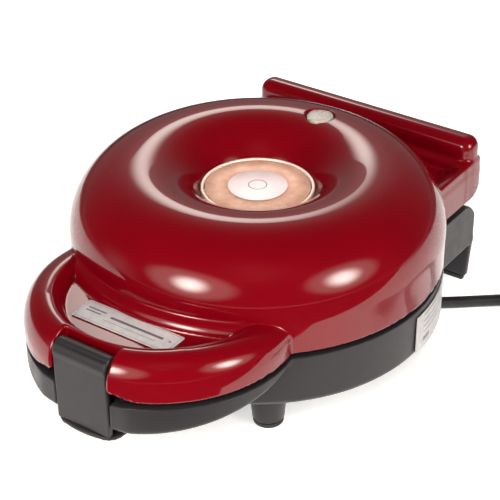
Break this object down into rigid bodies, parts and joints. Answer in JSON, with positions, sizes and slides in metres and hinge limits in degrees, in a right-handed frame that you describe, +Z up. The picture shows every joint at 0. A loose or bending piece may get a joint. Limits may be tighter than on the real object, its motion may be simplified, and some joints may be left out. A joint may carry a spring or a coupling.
{
  "type": "donut maker",
  "caption": "Round red donut maker with a hinged lid over ring-shaped moulds, a front latch, dark base, mains lead and plug.",
  "frame": {"origin": "centre of the appliance's plan outline, on the table, leads left out", "axes": "+Z up, +Y from the latch to the hinge"},
  "size_m": [0.3276, 0.3038, 0.1158],
  "materials": {
    "red_gloss": "gloss",
    "dark_satin": "satin",
    "black_plastic": "satin",
    "nonstick": "satin",
    "steel": "satin",
    "rubber": "matte",
    "copper_disc": "satin",
    "pink_print": "satin",
    "silver_ring": "polished",
    "lamp_white": "gloss",
    "label_silver": "satin",
    "cord_black": "satin",
    "porcelain": "satin",
    "brass": "satin"
  },
  "bodies": {
    "base": {"base_housing": "dark_satin", "bottom_cover": "dark_satin", "lower_deck": "black_plastic", "lower_plate": "nonstick", "lower_heating_element": "steel", "lower_heat_shield": "steel", "thermostat": "porcelain", "thermal_fuse": "steel", "terminal_block": "porcelain", "live_wire": "brass", "neutral_wire": "brass", "hinge_pin_left": "steel", "hinge_pin_right": "steel", "rating_label": "label_silver", "front_foot_pad_left": "rubber", "front_foot_pad_right": "rubber", "rear_foot_pad_left": "rubber", "rear_foot_pad_right": "rubber", "cover_screw_1": "steel", "cover_screw_2": "steel", "cover_screw_3": "steel", "cover_screw_4": "steel", "strain_relief": "rubber", "cord_lead": "cord_black", "cord_coil": "cord_black", "cord_tie": "black_plastic", "cord_tail": "cord_black", "plug_body": "cord_black", "plug_pin_line": "brass", "plug_pin_neutral": "brass", "plug_pin_earth": "brass"},
    "lid": {"lid_shell": "red_gloss", "lid_inner_frame": "black_plastic", "upper_plate": "nonstick", "upper_heating_element": "steel", "upper_heat_shield": "steel", "badge_ring": "silver_ring", "badge_disc": "copper_disc", "badge_centre": "pink_print", "indicator_lens": "lamp_white", "indicator_bulb": "lamp_white", "front_label": "label_silver", "latch_pin": "steel", "lid_screw_left": "steel", "lid_screw_right": "steel"},
    "latch": {"latch": "dark_satin"}
  },
  "joints": [
    {"name": "lid_hinge", "type": "hinge", "parent": "base", "child": "lid", "pos_m": [0, 0.133, 0.057], "axis": [-1, 0, 0], "range_deg": [0, 95]},
    {"name": "latch_hinge", "type": "hinge", "parent": "lid", "child": "latch", "pos_m": [0, -0.1319, 0.0738], "axis": [-1, 0, 0], "range_deg": [0, 70]}
  ]
}
